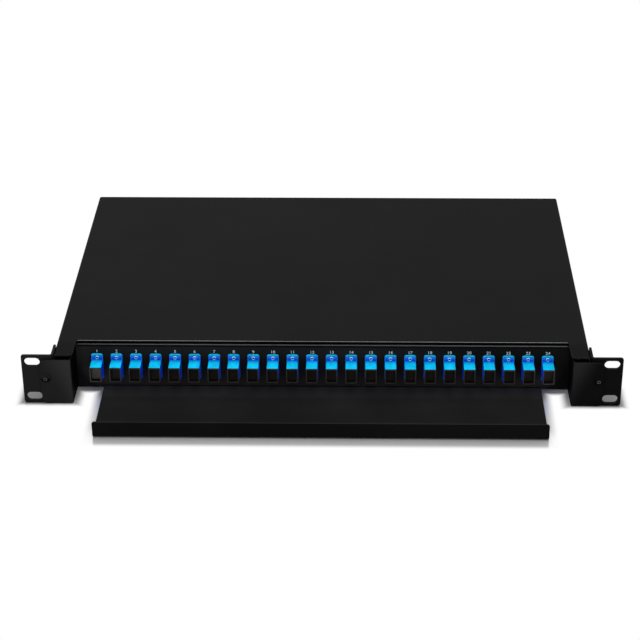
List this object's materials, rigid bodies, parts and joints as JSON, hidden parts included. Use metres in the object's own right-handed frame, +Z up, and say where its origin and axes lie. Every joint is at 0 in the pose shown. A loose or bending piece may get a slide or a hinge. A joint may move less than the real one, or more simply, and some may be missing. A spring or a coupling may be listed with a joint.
{
  "type": "sliding fibre patch drawer",
  "caption": "Rack drawer for fibre patching, with a row of capped blue ports in a recess, a lipped cable shelf, telescopic ball slides and push-pull latches.",
  "frame": {"origin": "bottom centre of the overall box, with the drawer closed", "axes": "+X to the right across the rack, +Y from the front to the rear wall, +Z up; the drawer opens along -Y"},
  "size_m": [0.4826, 0.3752, 0.044],
  "materials": {
    "painted_steel": "fine-grained black powder coat on folded sheet steel",
    "zinc_steel": "bright zinc-plated sheet steel",
    "ball_steel": "polished steel balls in a thin steel cage",
    "blue_plastic": "semi-gloss blue moulded plastic",
    "black_nylon": "satin black moulded nylon",
    "black_rubber": "matt black rubber",
    "tray_plastic": "satin off-white moulded plastic",
    "lid_plastic": "smoke-clear moulded plastic"
  },
  "bodies": {
    "chassis": {"outer_casing": "painted_steel", "base_pan": "painted_steel", "rack_ear_left": "painted_steel", "rack_ear_right": "painted_steel", "outer_rail_left": "zinc_steel", "outer_rail_right": "zinc_steel", "cable_gland_left": "black_nylon", "cable_gland_right": "black_nylon", "gland_nut_left": "black_nylon", "gland_nut_right": "black_nylon", "gland_cap_left": "black_nylon", "gland_cap_right": "black_nylon"},
    "drawer": {"drawer_front": "painted_steel", "drawer_tray": "painted_steel", "inner_rail_left": "zinc_steel", "inner_rail_right": "zinc_steel", "latch_grommet_left": "black_nylon", "latch_grommet_right": "black_nylon", "splice_tray": "tray_plastic", "splice_comb": "black_rubber", "splice_tray_lid": "lid_plastic", "fibre_spool_left": "black_nylon", "fibre_spool_right": "black_nylon", "cable_saddle_left": "zinc_steel", "cable_saddle_right": "zinc_steel", "adapter_01": "blue_plastic", "adapter_02": "blue_plastic", "adapter_03": "blue_plastic", "adapter_04": "blue_plastic", "adapter_05": "blue_plastic", "adapter_06": "blue_plastic", "adapter_07": "blue_plastic", "adapter_08": "blue_plastic", "adapter_09": "blue_plastic", "adapter_10": "blue_plastic", "adapter_11": "blue_plastic", "adapter_12": "blue_plastic", "adapter_13": "blue_plastic", "adapter_14": "blue_plastic", "adapter_15": "blue_plastic", "adapter_16": "blue_plastic", "adapter_17": "blue_plastic", "adapter_18": "blue_plastic", "adapter_19": "blue_plastic", "adapter_20": "blue_plastic", "adapter_21": "blue_plastic", "adapter_22": "blue_plastic", "adapter_23": "blue_plastic", "adapter_24": "blue_plastic"},
    "middle_slide_left": {"middle_rail_left": "zinc_steel"},
    "middle_slide_right": {"middle_rail_right": "zinc_steel"},
    "outer_balls_left": {"outer_ball_cage_left": "ball_steel"},
    "outer_balls_right": {"outer_ball_cage_right": "ball_steel"},
    "inner_balls_left": {"inner_ball_cage_left": "ball_steel"},
    "inner_balls_right": {"inner_ball_cage_right": "ball_steel"},
    "latch_left": {"latch_plunger_left": "black_nylon"},
    "latch_right": {"latch_plunger_right": "black_nylon"}
  },
  "joints": [
    {"name": "drawer_slide", "type": "slide", "parent": "chassis", "child": "drawer", "axis": [0, -1, 0], "range_m": [0, 0.23]},
    {"name": "middle_rail_slide_left", "type": "slide", "parent": "chassis", "child": "middle_slide_left", "axis": [0, -1, 0], "range_m": [0, 0.1151]},
    {"name": "middle_rail_slide_right", "type": "slide", "parent": "chassis", "child": "middle_slide_right", "axis": [0, -1, 0], "range_m": [0, 0.1151]},
    {"name": "outer_cage_slide_left", "type": "slide", "parent": "chassis", "child": "outer_balls_left", "axis": [0, -1, 0], "range_m": [0, 0.0576]},
    {"name": "outer_cage_slide_right", "type": "slide", "parent": "chassis", "child": "outer_balls_right", "axis": [0, -1, 0], "range_m": [0, 0.0576]},
    {"name": "inner_cage_slide_left", "type": "slide", "parent": "chassis", "child": "inner_balls_left", "axis": [0, -1, 0], "range_m": [0, 0.1726]},
    {"name": "inner_cage_slide_right", "type": "slide", "parent": "chassis", "child": "inner_balls_right", "axis": [0, -1, 0], "range_m": [0, 0.1726]},
    {"name": "latch_pull_left", "type": "slide", "parent": "drawer", "child": "latch_left", "axis": [0, -1, 0], "range_m": [0, 0.0035]},
    {"name": "latch_pull_right", "type": "slide", "parent": "drawer", "child": "latch_right", "axis": [0, -1, 0], "range_m": [0, 0.0035]}
  ],
  "couplings": [
    {"joint": "middle_rail_slide_left", "follows": "drawer_slide", "ratio": 0.5},
    {"joint": "middle_rail_slide_right", "follows": "drawer_slide", "ratio": 0.5},
    {"joint": "outer_cage_slide_left", "follows": "drawer_slide", "ratio": 0.25},
    {"joint": "outer_cage_slide_right", "follows": "drawer_slide", "ratio": 0.25},
    {"joint": "inner_cage_slide_left", "follows": "drawer_slide", "ratio": 0.75},
    {"joint": "inner_cage_slide_right", "follows": "drawer_slide", "ratio": 0.75}
  ]
}
